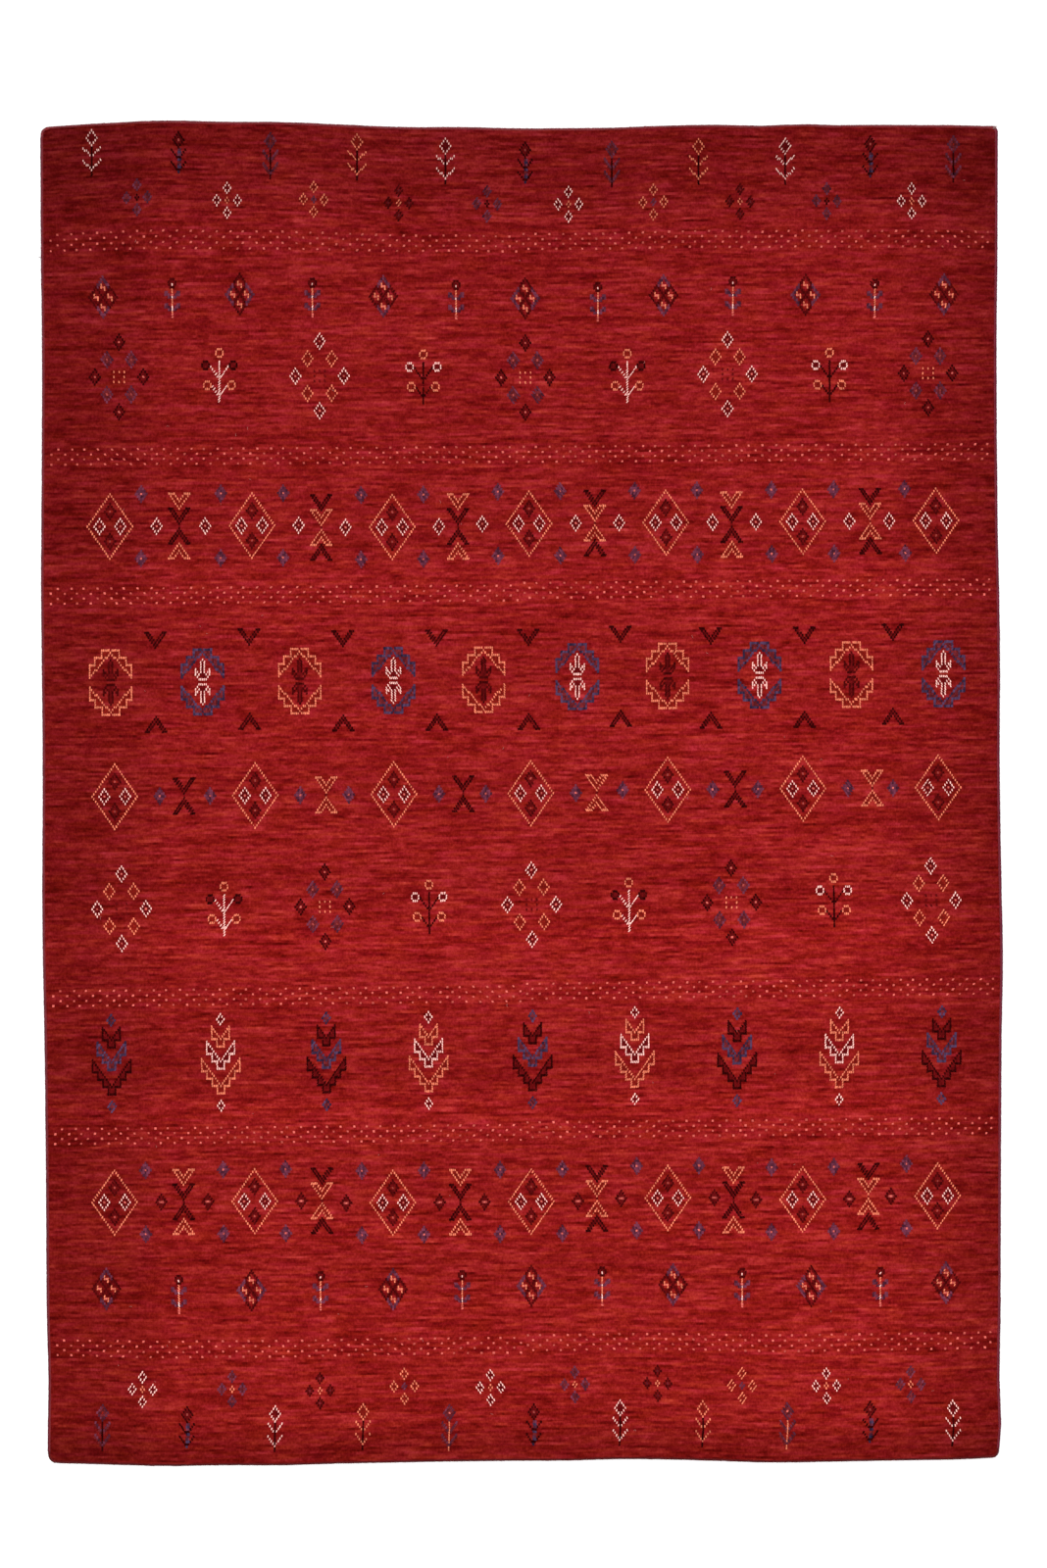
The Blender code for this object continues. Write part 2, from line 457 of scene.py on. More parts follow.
def totem(outer, middle):
    """Three stepped brackets in a stack between two small diamonds."""
    chart = {}
    eye(chart, 0, 17, 2, middle)
    eye(chart, 0, -18, 2, middle)
    outer_fill = MAROON if outer == DARK else RUST
    bracket(chart, 5, 14, outer, outer_fill)
    bracket(chart, 11, 1, outer, outer_fill)
    bracket(chart, 8, 8, middle, FILLS[middle])
    return chart


def flowers(reach):
    return {
        WHITE: flower(WHITE, DARK, reach),
        DARK: dark_flower(4),
        VIOLET: flower(VIOLET, DARK, 4, RUST),
        ORANGE: flower(ORANGE, DARK, reach),
        "violet on orange": flower(VIOLET, ORANGE, 4, PINK),
    }


QUATREFOILS = {
    WHITE: quatrefoil(WHITE, ORANGE),
    DARK: quatrefoil(DEEP, ORANGE, PURPLE),
    VIOLET: quatrefoil(VIOLET, DARK),
    ORANGE: quatrefoil(ORANGE, VIOLET),
    "violet with orange": quatrefoil(VIOLET, ORANGE),
}
LOZENGES = (lozenge(VIOLET, DEEP), lozenge(DEEP, VIOLET))
PLANTS = (plant(),)
DARK_ROSETTE = rosette(DARK, PINK, VIOLET, ROSE, ORANGE)
WHITE_ROSETTE = rosette(WHITE, PINK, ORANGE, None, MAROON)
DARK_ROSETTE_FIRST = (DARK_ROSETTE, WHITE_ROSETTE)
WHITE_ROSETTE_FIRST = (WHITE_ROSETTE, DARK_ROSETTE)
TREES = (tree(WHITE, DARK), tree(DARK, WHITE))
LARGE_DIAMONDS = (large_diamond(),)
COLUMNS = (chevron_column(ORANGE, DARK), chevron_column(DARK, ORANGE))
CROSSES = (chevron_cross(DARK), chevron_cross(ORANGE))
CHEVRON_PAIRS = (chevron_pair(),)
MEDALLIONS = (medallion(ORANGE, DEEP), medallion(BLUE, WHITE))
TOTEMS = (totem(DARK, BLUE), totem(ORANGE, WHITE))

FLOWER_TURNS = (WHITE, DARK, VIOLET, ORANGE)
TOP_FLOWERS = [flowers(5)[yarn] for yarn in FLOWER_TURNS]
BOTTOM_FLOWERS = [
    flowers(4)[name]
    for name in (
        VIOLET, DARK, WHITE, ORANGE, "violet on orange", DARK,
        WHITE, ORANGE, "violet on orange", DARK, WHITE,
    )
]
TOP_QUATREFOILS = [QUATREFOILS[yarn] for yarn in (VIOLET, WHITE, ORANGE, DARK)]
BOTTOM_QUATREFOILS = [QUATREFOILS[yarn] for yarn in (WHITE, "violet with orange", DARK, ORANGE)]

# Where the motifs stand, in millimetres from the rug's middle, and how many knot rows higher or
# lower each was begun. Motifs take the charts in turn.
MOTIF_ROWS = (
    # height, charts in turn, places across, rows higher
    (
        1129, TOP_FLOWERS,
        (-766, -612, -448, -294, -136, 7, 160, 315, 470, 623, 770),
        (2, 0, 0, 1, 0, -1, -1, -1, -1, 0, 0),
    ),
    (
        1052, TOP_QUATREFOILS,
        (-686, -525, -371, -219, -61, 85, 235, 391, 544, 697),
        (0, -1, 0, 0, 0, 0, 0, 0, 0, 0),
    ),
    (889, LOZENGES, (-747, -503, -248, 7, 253, 507, 753), (0, 1, 0, -1, 0, 0, 0)),
    (881, PLANTS, (-622, -373, -118, 135, 376, 630), (0, 0, -1, -2, 0, -1)),
    (747, DARK_ROSETTE_FIRST, (-719, -359, 8, 367, 724), (0, 0, -1, 0, 0)),
    (750, TREES, (-538, -174, 190, 549), (0, -1, -1, -1)),
    (481, LARGE_DIAMONDS, (-733, -480, -231, 12, 258, 501, 739), (0, 0, -1, 0, 0, 0, 0)),
    (481, COLUMNS, (-609, -357, -112, 131, 375, 622), (0, -1, -1, 0, -1, 0)),
    (203, CHEVRON_PAIRS, (-653, -486, -319, -151, 13, 178, 339, 505, 662), (0, 1, 0, 0, 0, 1, 0, 0, 1)),
    (
        203, MEDALLIONS,
        (-733, -568, -396, -227, -69, 101, 261, 423, 587, 751),
        (0, 0, 0, 0, 0, 1, 1, 1, 1, 1),
    ),
    (4, LARGE_DIAMONDS, (-727, -476, -227, 15, 261, 503, 744), (-1, -1, -1, -1, 0, 0, 0)),
    (4, CROSSES, (-603, -348, -104, 134, 380, 624), (-1, -1, -1, -1, 0, 0)),
    (-199, WHITE_ROSETTE_FIRST, (-714, -350, 18, 374, 731), (0, 0, 0, 0, 0)),
    (-199, TREES, (-529, -164, 193, 557), (0, 0, 0, 1)),
    (-473, TOTEMS, (-732, -535, -349, -165, 19, 203, 383, 568, 749), (0, 0, 0, 0, 0, 1, 0, 0, 0)),
    (-724, LARGE_DIAMONDS, (-726, -477, -230, 17, 260, 502, 742), (0, 0, -1, -1, 0, -1, 0)),
    (-724, COLUMNS, (-601, -355, -108, 134, 378, 619), (0, 0, -1, 0, -1, 0)),
    (-880, LOZENGES, (-741, -481, -229, 16, 270, 516, 757), (0, -1, -1, 0, 0, -1, 0)),
    (-890, PLANTS, (-611, -357, -106, 145, 392, 639), (0, 1, 1, 2, 1, 1)),
    (
        -1055, BOTTOM_QUATREFOILS,
        (-676, -515, -360, -208, -54, 95, 243, 393, 543, 695),
        (0, 0, -1, 0, -1, 0, 0, 0, 0, 0),
    ),
    (
        -1121, BOTTOM_FLOWERS,
        (-748, -597, -441, -283, -129, 22, 175, 323, 475, 621, 770),
        (0, 0, 0, 0, -1, -1, 0, 0, 0, 0, 0),
    ),
)

# Small diamonds beside the large ones
COMPANIONS = (
    # height of the row, yarn, knots out from the large diamond, knots up and down
    (481, WHITE, 27, 0),
    (481, VIOLET, 18, 13),
    (4, VIOLET, 26, 0),
    (-724, DEEP, 27, 0),
    (-724, VIOLET, 18, 13),
)

# Bands of dots
DOT_BANDS = (
    # height of the band's middle in millimetres, rows higher in its right half
    (978, 1), (603, 0), (356, 1), (-356, 1), (-605, 1), (-985, 1),
)
DOT_LINES = (-3, -1, 1, 3)
DOT_PITCH = 7.68
DOT_MARGINS = (3, 2)


def stamp(knots, chart, column, row):
    for (x, y), yarn in chart.items():
        knots[column + x, row + y] = yarn


def knot_dots(knots):
    for height, step in DOT_BANDS:
        row = row_at(height * MILLIMETRE)
        for line_number, lift in enumerate(DOT_LINES):
            start = DOT_MARGINS[0] + DOT_PITCH / 2 * (line_number % 2)
            dots = math.ceil((KNOT_COLUMNS - start - DOT_MARGINS[1]) / DOT_PITCH)
            for number in range(dots):
                column = round(start + number * DOT_PITCH)
                higher = step if column > KNOT_COLUMNS / 2 else 0
                knots[column, row + lift + higher] = PINK


def knot_companions(knots, height, places, lifts, row):
    for own_height, yarn, out, up in COMPANIONS:
        if own_height != height:
            continue
        for number, place in enumerate(places):
            column = column_at(place * MILLIMETRE, row)
            sides = [side for side in (-1, 1) if 0 <= number + side < len(places)]
            for side in sides:
                for lift in {up, -up}:
                    stamp(knots, small_diamond(yarn), column + side * out, row + lift + lifts[number])


def knot_pattern():
    """Every knot that isn't field red: {(column, row): yarn}."""
    knots = {}
    knot_dots(knots)
    for height, charts, places, lifts in MOTIF_ROWS:
        row = row_at(height * MILLIMETRE)
        if charts is LARGE_DIAMONDS:
            knot_companions(knots, height, places, lifts, row)
        for number, (place, lift) in enumerate(zip(places, lifts)):
            stamp(knots, charts[number % len(charts)], column_at(place * MILLIMETRE, row), row + lift)
    return knots


# Materials

SPECULAR_LEVEL = 0.008
SHEEN_ROUGHNESS = 0.5
PILE_ROUGHNESS = 0.92
THREAD_ROUGHNESS = 0.9
PILE_SHEEN = 0.06
EDGE_SHEEN = 0.08


class Shader:
    """A new node material with its Principled shader, and short ways to add nodes to it."""

    def __init__(self, name, roughness, sheen, tint):
        self.material = bpy.data.materials.new(name)
        self.material.use_nodes = True
        self.tree = self.material.node_tree
        self.surface = self.tree.nodes["Principled BSDF"]
        for socket, value in (
            ("Roughness", roughness),
            ("Specular IOR Level", SPECULAR_LEVEL),
            ("Sheen Weight", sheen),
            ("Sheen Roughness", SHEEN_ROUGHNESS),
            ("Sheen Tint", (*tint, 1)),
        ):
            self.surface.inputs[socket].default_value = value

    def node(self, kind, **settings):
        made = self.tree.nodes.new(kind)
        for name, value in settings.items():
            setattr(made, name, value)
        return made

    def feed(self, socket, value):
        """Sets a socket to a number or colour, or links it to another node's output."""
        if isinstance(value, bpy.types.NodeSocket):
            self.tree.links.new(value, socket)
        else:
            socket.default_value = value

    def math(self, operation, first, second=0.0):
        made = self.node("ShaderNodeMath", operation=operation)
        self.feed(made.inputs[0], first)
        self.feed(made.inputs[1], second)
        return made.outputs[0]

    def uv(self):
        """The two numbers of the piece's own map."""
        source = self.node("ShaderNodeUVMap", uv_map="knots")
        split = self.node("ShaderNodeSeparateXYZ")
        self.feed(split.inputs[0], source.outputs[0])
        return split.outputs[0], split.outputs[1]

    def join(self, x, y, z=0.0):
        made = self.node("ShaderNodeCombineXYZ")
        for socket, value in zip(made.inputs, (x, y, z)):
            self.feed(socket, value)
        return made.outputs[0]

    def noise(self, x, y, seed, detail=2.0, roughness=0.5):
        """Noise from 0 to 1 at a place; a different seed gives a different pattern."""
        return self.noise_at(self.join(x, y, seed), 1.0, detail, roughness)

    def noise_at(self, place, scale, detail=2.0, roughness=0.5):
        made = self.node("ShaderNodeTexNoise", noise_dimensions="3D")
        self.feed(made.inputs["Vector"], place)
        made.inputs["Scale"].default_value = scale
        made.inputs["Detail"].default_value = detail
        made.inputs["Roughness"].default_value = roughness
        return made.outputs["Fac"]

    def fibres(self, scale):
        """Fine noise from 0 to 1, placed in the frame's metres."""
        return self.noise_at(self.node("ShaderNodeTexCoord").outputs["Object"], scale)

    def ramp(self, value, stops, interpolation="LINEAR"):
        """A colour ramp; stops are places with a colour."""
        made = self.node("ShaderNodeValToRGB")
        made.color_ramp.interpolation = interpolation
        elements = made.color_ramp.elements
        while len(elements) < len(stops):
            elements.new(0.5)
        for element, (place, colour) in zip(elements, stops):
            element.position = place
        for element, (place, colour) in zip(elements, stops):
            element.color = (*colour, 1)
        self.feed(made.inputs[0], value)
        return made.outputs[0]

    def multiply(self, first, second):
        made = self.node("ShaderNodeMix", data_type="RGBA", blend_type="MULTIPLY")
        made.inputs[0].default_value = 1.0
        self.feed(made.inputs[6], first)
        self.feed(made.inputs[7], second)
        return made.outputs[2]

    def colour(self, value):
        self.feed(self.surface.inputs["Base Color"], value)

    def bump(self, height, distance, strength=1.0):
        made = self.node("ShaderNodeBump")
        made.inputs["Strength"].default_value = strength
        made.inputs["Distance"].default_value = distance
        self.feed(made.inputs["Height"], height)
        self.feed(self.surface.inputs["Normal"], made.outputs[0])


def shades(levels):
    """Grey stops for a ramp from places and levels."""
    return [(place, (level, level, level)) for place, level in levels]


# How light the red lies along the rug, bottom to top, and across it, left to right
# Painted shade: darker towards both ends and both sides, where the light falls off;
# along the rug the stops also hold the bands of abrash in the red dye
LENGTH_SHADE_AND_ABRASH = (
    (0.000, 0.74), (0.012, 0.78), (0.030, 1.02), (0.060, 1.08), (0.110, 1.10), (0.150, 1.04),
    (0.172, 1.13), (0.196, 1.03), (0.240, 1.06), (0.262, 1.17), (0.290, 1.00), (0.340, 1.07),
    (0.372, 1.11), (0.392, 1.21), (0.415, 1.08), (0.440, 1.03), (0.460, 1.08), (0.500, 1.01),
    (0.550, 1.09), (0.590, 1.00), (0.640, 1.05), (0.668, 1.08), (0.690, 0.97), (0.740, 0.97),
    (0.770, 0.94), (0.850, 0.95), (0.900, 0.88), (0.930, 0.84), (0.945, 0.73), (0.970, 0.68),
    (1.000, 0.62),
)
LENGTH_TINTS = (
    # the red is a little cooler towards the top
    (0.0, (1.0, 1.0, 0.96)),
    (1.0, (1.0, 0.97, 1.14)),
)
WIDTH_PAINTED_SHADE = (
    (0.000, 0.66), (0.040, 0.70), (0.075, 0.76), (0.140, 0.95), (0.260, 1.02), (0.500, 1.02),
    (0.800, 1.07), (0.870, 1.05), (0.930, 0.90), (0.970, 0.77), (1.000, 0.68),
)
# Streaks of the hand-spun red, row by row: length in knots, thickness in rows, share
STREAKS = (
    (22.0, 1.0, 0.50),
    (7.0, 1.0, 0.50),
    (3.0, 1.0, 0.25),
    (40.0, 2.2, 0.26),
    (60.0, 6.0, 0.08),
)
GRAIN_SIZE = 0.9
GRAIN_SHARE = 0.35
# The streaks waver by some rows over this many columns and rows
WAVER_COLUMNS = 30.0
WAVER_ROWS = 6.0
WAVER_DEPTH = 1.6
ROW_JUMP = 1.73
FIELD_SHEEN = (0.60, 0.06, 0.04)
FIELD_REDS = (
    # streak level, linear colour
    (0.22, (0.056, 0.0010, 0.0007)),
    (0.40, (0.126, 0.0032, 0.0029)),
    (0.52, (0.186, 0.0072, 0.0065)),
    (0.64, (0.258, 0.0146, 0.0135)),
    (0.84, (0.360, 0.0320, 0.0290)),
)
HUE_COLUMNS = 16.0
HUE_ROWS = 0.6
FIELD_HUES = (
    # crimson streaks to scarlet ones
    (0.34, (0.98, 0.82, 1.26)),
    (0.66, (1.00, 1.18, 0.74)),
)
RIM_SHEEN = (0.60, 0.12, 0.14)
RIM_REDS = (
    (0.30, (0.150, 0.0080, 0.0080)),
    (0.70, (0.250, 0.0170, 0.0170)),
)
# Overcast cords: wool colour, with painted shade on the outer flank and a painted highlight on the
# crest, how deep the turns are scalloped, and how much wider the wool is than the solid
CORDS = {
    # shaded flank, lit crest, scallops, extra width
    "selvedge_left": ((0.085, 0.0120, 0.0180), (0.250, 0.0380, 0.0460), 0.03, 0.0012),
    "selvedge_right": ((0.095, 0.0120, 0.0240), (0.250, 0.0370, 0.0520), 0.03, 0.0012),
    "end_cord_bottom": ((0.060, 0.0075, 0.0080), (0.150, 0.0160, 0.0170), 0.12, 0.0005),
    "end_cord_top": ((0.105, 0.0150, 0.0185), (0.280, 0.0560, 0.0640), 0.06, 0.0005),
}


def streak_level(shader, column, row):
    """How light the red yarn is at a knot: streaks along the rows, a little wavy."""
    total = 0.0
    for seed, (length, thickness, share) in enumerate(STREAKS):
        slow_column = shader.math("DIVIDE", column, WAVER_COLUMNS)
        slow_row = shader.math("DIVIDE", row, WAVER_ROWS)
        waver = shader.noise(slow_column, slow_row, seed + 20.0)
        wavy = shader.math("ADD", row, shader.math("MULTIPLY", waver, WAVER_DEPTH))
        step = shader.math("FLOOR", shader.math("DIVIDE", wavy, thickness))
        along = shader.math("DIVIDE", column, length)
        value = shader.noise(along, shader.math("MULTIPLY", step, ROW_JUMP), seed + 0.5)
        rise = shader.math("MULTIPLY", shader.math("SUBTRACT", value, 0.5), share)
        total = shader.math("ADD", total, rise)
    fine_column = shader.math("MULTIPLY", column, GRAIN_SIZE)
    fine_row = shader.math("MULTIPLY", row, GRAIN_SIZE)
    grain = shader.noise(fine_column, fine_row, 40.0)
    rise = shader.math("MULTIPLY", shader.math("SUBTRACT", grain, 0.5), GRAIN_SHARE)
    return shader.math("ADD", shader.math("ADD", total, rise), 0.5)


def shade_and_abrash_along(shader, row):
    """How light the yarns are along the rug: painted shade towards both ends, with the red's abrash
    bands.
    """
    return shader.ramp(shader.math("DIVIDE", row, float(KNOT_ROWS)), shades(LENGTH_SHADE_AND_ABRASH), "EASE")


# Painted shade across and along the rug, with the abrash bands along it and a cooler tint to the top
def painted_shade_and_abrash(shader, column, row):
    share = shader.math("DIVIDE", column, float(KNOT_COLUMNS))
    across = shader.ramp(share, shades(WIDTH_PAINTED_SHADE), "EASE")
    tint = shader.ramp(shader.math("DIVIDE", row, float(KNOT_ROWS)), LENGTH_TINTS)
    return shader.multiply(shader.multiply(shade_and_abrash_along(shader, row), across), tint)


def make_field_wool():
    shader = Shader("field wool", PILE_ROUGHNESS, PILE_SHEEN, FIELD_SHEEN)
    column, row = shader.uv()
    reds = shader.ramp(streak_level(shader, column, row), FIELD_REDS)
    hue_column = shader.math("DIVIDE", column, HUE_COLUMNS)
    hue = shader.noise(hue_column, shader.math("MULTIPLY", row, HUE_ROWS), 70.0)
    reds = shader.multiply(reds, shader.ramp(hue, FIELD_HUES))
    shader.colour(shader.multiply(reds, painted_shade_and_abrash(shader, column, row)))
    tufts = shader.noise(column, row, 60.0, 3.0, 0.65)
    shader.bump(tufts, distance=0.0016)
    return shader.material


def make_yarn(name, darkest, lightest):
    """Motif yarn: each knot a little lighter or darker, and painted shade along the rug."""
    shader = Shader(name, PILE_ROUGHNESS, PILE_SHEEN, lightest)
    column, row = shader.uv()
    knot = shader.join(shader.math("FLOOR", column), shader.math("FLOOR", row))
    cell = shader.node("ShaderNodeTexWhiteNoise", noise_dimensions="2D")
    shader.feed(cell.inputs["Vector"], knot)
    own = shader.ramp(cell.outputs["Value"], ((0.0, darkest), (1.0, lightest)))
    # Painted shade: the motif yarns darken towards both ends of the rug, like the red
    shader.colour(shader.multiply(own, shade_and_abrash_along(shader, row)))
    shader.bump(shader.fibres(900.0), distance=0.0004)
    return shader.material


def make_rim_wool():
    """The red yarn of the rim, where its tufts lean out and show their lighter sides."""
    shader = Shader("rim wool", PILE_ROUGHNESS, EDGE_SHEEN, RIM_SHEEN)
    column, row = shader.uv()
    slow_column = shader.math("DIVIDE", column, 5.0)
    slow_row = shader.math("DIVIDE", row, 4.0)
    uneven = shader.noise(slow_column, slow_row, 80.0, 3.0)
    shader.colour(shader.ramp(uneven, RIM_REDS))
    return shader.material


def make_cord_wool(name, shaded_flank, crest):
    """Overcast wool: painted shade outside and a painted highlight on its crest, uneven from wrap to
    wrap.
    """
    shader = Shader(name, THREAD_ROUGHNESS, EDGE_SHEEN, crest)
    wrap, inward = shader.uv()
    # Painted shade on the outer flank, rising to a painted highlight on the crest
    lit_and_shaded_plums = shader.ramp(inward, ((0.30, shaded_flank), (0.72, crest)))
    uneven = shader.noise(shader.math("MULTIPLY", shader.math("FLOOR", wrap), 0.15), 0.0, 3.0, 2.0)
    shader.colour(shader.multiply(lit_and_shaded_plums, shader.ramp(uneven, shades(((0.30, 0.78), (0.75, 1.25))))))
    fine_wrap = shader.math("MULTIPLY", wrap, 7.0)
    strands = shader.noise(fine_wrap, shader.math("MULTIPLY", inward, 4.0), 5.0, 2.0)
    shader.bump(strands, distance=0.0006)
    return shader.material


def make_plain_wool(name, colour):
    """Uneven plain wool for loose ends and lint."""
    shader = Shader(name, THREAD_ROUGHNESS, PILE_SHEEN, colour)
    mottle = shader.fibres(500.0)
    low = tuple(channel * 0.75 for channel in colour)
    shader.colour(shader.ramp(mottle, ((0.35, low), (0.65, colour))))
    shader.bump(mottle, distance=0.0003)
    return shader.material


# Motif yarns: darkest and lightest knots, and how far a tuft fills its knot across and along
YARNS = {
    WHITE: ((0.700, 0.4000, 0.3600), (0.900, 0.5200, 0.4600), (0.62, 0.92)),
    ORANGE: ((0.460, 0.1170, 0.0660), (0.730, 0.1850, 0.1030), (0.74, 0.92)),
    PINK: ((0.320, 0.0500, 0.0400), (0.570, 0.1120, 0.0920), (1.20, 0.84)),
    ROSE: ((0.190, 0.0260, 0.0230), (0.330, 0.0500, 0.0440), (1.05, 1.00)),
    RUST: ((0.112, 0.0052, 0.0034), (0.188, 0.0088, 0.0056), (1.00, 1.00)),
    VIOLET: ((0.034, 0.0067, 0.0150), (0.138, 0.0275, 0.0520), (1.15, 1.10)),
    PURPLE: ((0.060, 0.0060, 0.0080), (0.145, 0.0150, 0.0190), (1.05, 1.05)),
    BLUE: ((0.013, 0.0080, 0.0220), (0.070, 0.0350, 0.0800), (1.25, 1.10)),
    DARK: ((0.012, 0.0005, 0.0006), (0.029, 0.0012, 0.0015), (1.02, 1.02)),
    DEEP: ((0.028, 0.0009, 0.0011), (0.058, 0.0020, 0.0022), (1.05, 1.05)),
    MAROON: ((0.062, 0.0020, 0.0024), (0.114, 0.0036, 0.0044), (1.05, 1.05)),
}


# Meshes


def add_object(name, data):
    made = bpy.data.objects.new(name, data)
    bpy.context.scene.collection.objects.link(made)
    return made


def make_mesh(name, points, faces, knots, material, smooth=True):
    """An object from points, faces and each point's place in the map called knots."""
    mesh = bpy.data.meshes.new(name)
    mesh.from_pydata(np.asarray(points).tolist(), [], faces)
    uv = mesh.uv_layers.new(name="knots")
    corners = np.zeros(len(mesh.loops), np.int32)
    mesh.loops.foreach_get("vertex_index", corners)
    uv.data.foreach_set("uv", np.asarray(knots, np.float32)[corners].ravel())
    mesh.polygons.foreach_set("use_smooth", np.full(len(mesh.polygons), smooth))
    mesh.materials.append(material)
    mesh.update()
    made = add_object(name, mesh)
    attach(made, "root")
    return made


# The pile's relief: runs in grid columns, and their shares
RELIEF_RUNS = ((1, 0.6), (3, 0.6), (9, 0.4))


def streaky_relief(shape):
    """Heights for the pile's top, about 0 with spread 1: each row its own, in runs along the row."""
    total = np.zeros(shape)
    for run, share in RELIEF_RUNS:
        steps = rng.normal(size=(shape[0], shape[1] + run))
        sums = np.cumsum(steps, axis=1)
        runs = (sums[:, run:] - sums[:, :-run]) / math.sqrt(run)
        total += share * runs[:, : shape[1]]
    return total / total.std()


def outward_of(x, y):
    """Unit steps outward from a closed loop of places that runs anticlockwise."""
    along_x = np.roll(x, -1) - np.roll(x, 1)
    along_y = np.roll(y, -1) - np.roll(y, 1)
    length = np.hypot(along_x, along_y)
    return along_y / length, -along_x / length


def sink_under(heights, knots):
    """Lowers the ground under the motif knots a little, so that their tufts show whole."""
    places = np.array(list(knots), int)
    first = (places[:, 0] * PILE_GRID_COLUMNS / KNOT_COLUMNS).astype(int)
    for up in (0, 1):
        for aside in (0, 1, 2):
            rows = places[:, 1] + up
            columns = np.minimum(first + aside, PILE_GRID_COLUMNS)
            heights[rows, columns] = np.minimum(heights[rows, columns], PILE_TOP - MOTIF_DEPTH)


def make_pile(material, knots):
    """The pile's ground: a closed cloth with a knot row to each grid line and a soft rim."""
    columns = np.linspace(0, KNOT_COLUMNS, PILE_GRID_COLUMNS + 1)
    rows = np.arange(KNOT_ROWS + 1.0)
    column, row = np.meshgrid(columns, rows)
    x, y = lie(column, row)
    z = PILE_TOP - GROUND_DEPTH + PILE_RELIEF * streaky_relief(column.shape)
    sink_under(z, knots)
    wide = len(columns)
    high = len(rows)
    index = np.arange(wide * high).reshape(high, wide)
    loop = np.concatenate((index[0, :-1], index[:-1, -1], index[-1, :0:-1], index[:0:-1, 0]))
    faces = np.stack((index[:-1, :-1], index[:-1, 1:], index[1:, 1:], index[1:, :-1]), -1)
    faces = faces.reshape(-1, 4).tolist()
    points = [np.stack((x, y, z), -1).reshape(-1, 3)]
    places = [np.stack((column, row), -1).reshape(-1, 2)]
    x_loop, y_loop = x.ravel()[loop], y.ravel()[loop]
    x_out, y_out = outward_of(x_loop, y_loop)
    last = loop
    start = wide * high
    for reach, level in PILE_RIM:
        uneven = np.zeros(len(loop))
        if level > PILE_UNDERSIDE:
            uneven = rng.normal(size=len(loop)) * RIM_UNEVENNESS
        reaches = reach + uneven * (reach > RIM_UNEVEN_FROM)
        ring = (x_loop + x_out * reaches, y_loop + y_out * reaches, level + RIM_RISE * uneven)
        points.append(np.stack(ring, -1))
        moved = np.stack((x_out / COLUMN_PITCH, y_out / ROW_PITCH), -1) * (reach + PILE_TOP - level)
        places.append(places[0][loop] + moved)
        ring_index = start + np.arange(len(loop))
        sides = np.stack((last, ring_index, np.roll(ring_index, -1), np.roll(last, -1)), -1)
        faces += sides.tolist()
        last = ring_index
        start += len(loop)
    faces.append(last[::-1].tolist())
    made = make_mesh("knotted_pile", np.concatenate(points), faces, np.concatenate(places), material)
    made.data.polygons[len(faces) - 1].use_smooth = False
    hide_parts("pile_field")
    return made


# One tuft: its corners as shares of half its width and length, and its faces up to its tip
TUFT_POINTS = 9
TUFT_CORNERS = np.array(((-1, -1), (1, -1), (1, 1), (-1, 1)), float)
TUFT_FACES = np.array(
    (
        (1, 0, 3), (1, 3, 2),
        (0, 1, 5), (0, 5, 4), (1, 2, 6), (1, 6, 5), (2, 3, 7), (2, 7, 6), (3, 0, 4), (3, 4, 7),
        (4, 5, 8), (5, 6, 8), (6, 7, 8), (7, 4, 8),
    )
)
# How tufts vary in size, corners, tips and slant; knots of one block slant alike
TUFT_SIZES = (0.88, 1.12)
CORNER_WANDER = 0.00012
TIP_WANDER = 0.0002
TIP_HEIGHT = 0.0003
TIP_SIZE = 0.95
TIP_LEAN = 0.8
SLANT = 0.22
SLANT_BLOCKS = 97
BLOCK_COLUMNS = 30
BLOCK_ROWS = 40


def slants(column, row):
    """How far each knot slants aside, the same in a block about as large as a motif."""
    block = (column // BLOCK_COLUMNS * 17 + row // BLOCK_ROWS * 31).astype(int) % SLANT_BLOCKS
    return rng.normal(0, SLANT, SLANT_BLOCKS)[block][:, None]


def make_tufts(name, column, row, base, tip, fill, lean, material):
    """Closed tufts of yarn, one to each knot, joined in one mesh; lean moves their tips aside."""
    count = len(column)
    x, y = lie(column + 0.5, row + 0.5)
    half = np.array((COLUMN_PITCH, ROW_PITCH)) / 2 * np.array(fill)
    size = half * rng.uniform(*TUFT_SIZES, (count, 1, 1)) * TUFT_CORNERS
    size = size + rng.normal(size=(count, 4, 2)) * CORNER_WANDER
    size[:, :, 0] += slants(column, row) * size[:, :, 1]
    foot = np.stack((x, y), -1)[:, None, :]
    tips = tip + rng.normal(size=(count, 1)) * TIP_WANDER
    shift = (lean + rng.normal(size=(count, 2)) * TIP_WANDER)[:, None, :]
    points = np.zeros((count, TUFT_POINTS, 3))
    points[:, :4, :2] = foot + size
    points[:, :4, 2] = base
    points[:, 4:8, :2] = foot + shift * TIP_LEAN + size * TIP_SIZE
    points[:, 4:8, 2] = tips - TIP_HEIGHT
    points[:, 8:, :2] = foot + shift
    points[:, 8:, 2] = tips
    faces = (TUFT_FACES[None] + TUFT_POINTS * np.arange(count)[:, None, None]).reshape(-1, 3)
    knots = np.repeat(np.stack((column + 0.5, row + 0.5), -1), TUFT_POINTS, axis=0)
    made = make_mesh(name, points.reshape(-1, 3), faces.tolist(), knots, material, smooth=False)
    return made


MOTIF_RISE = 0.0002


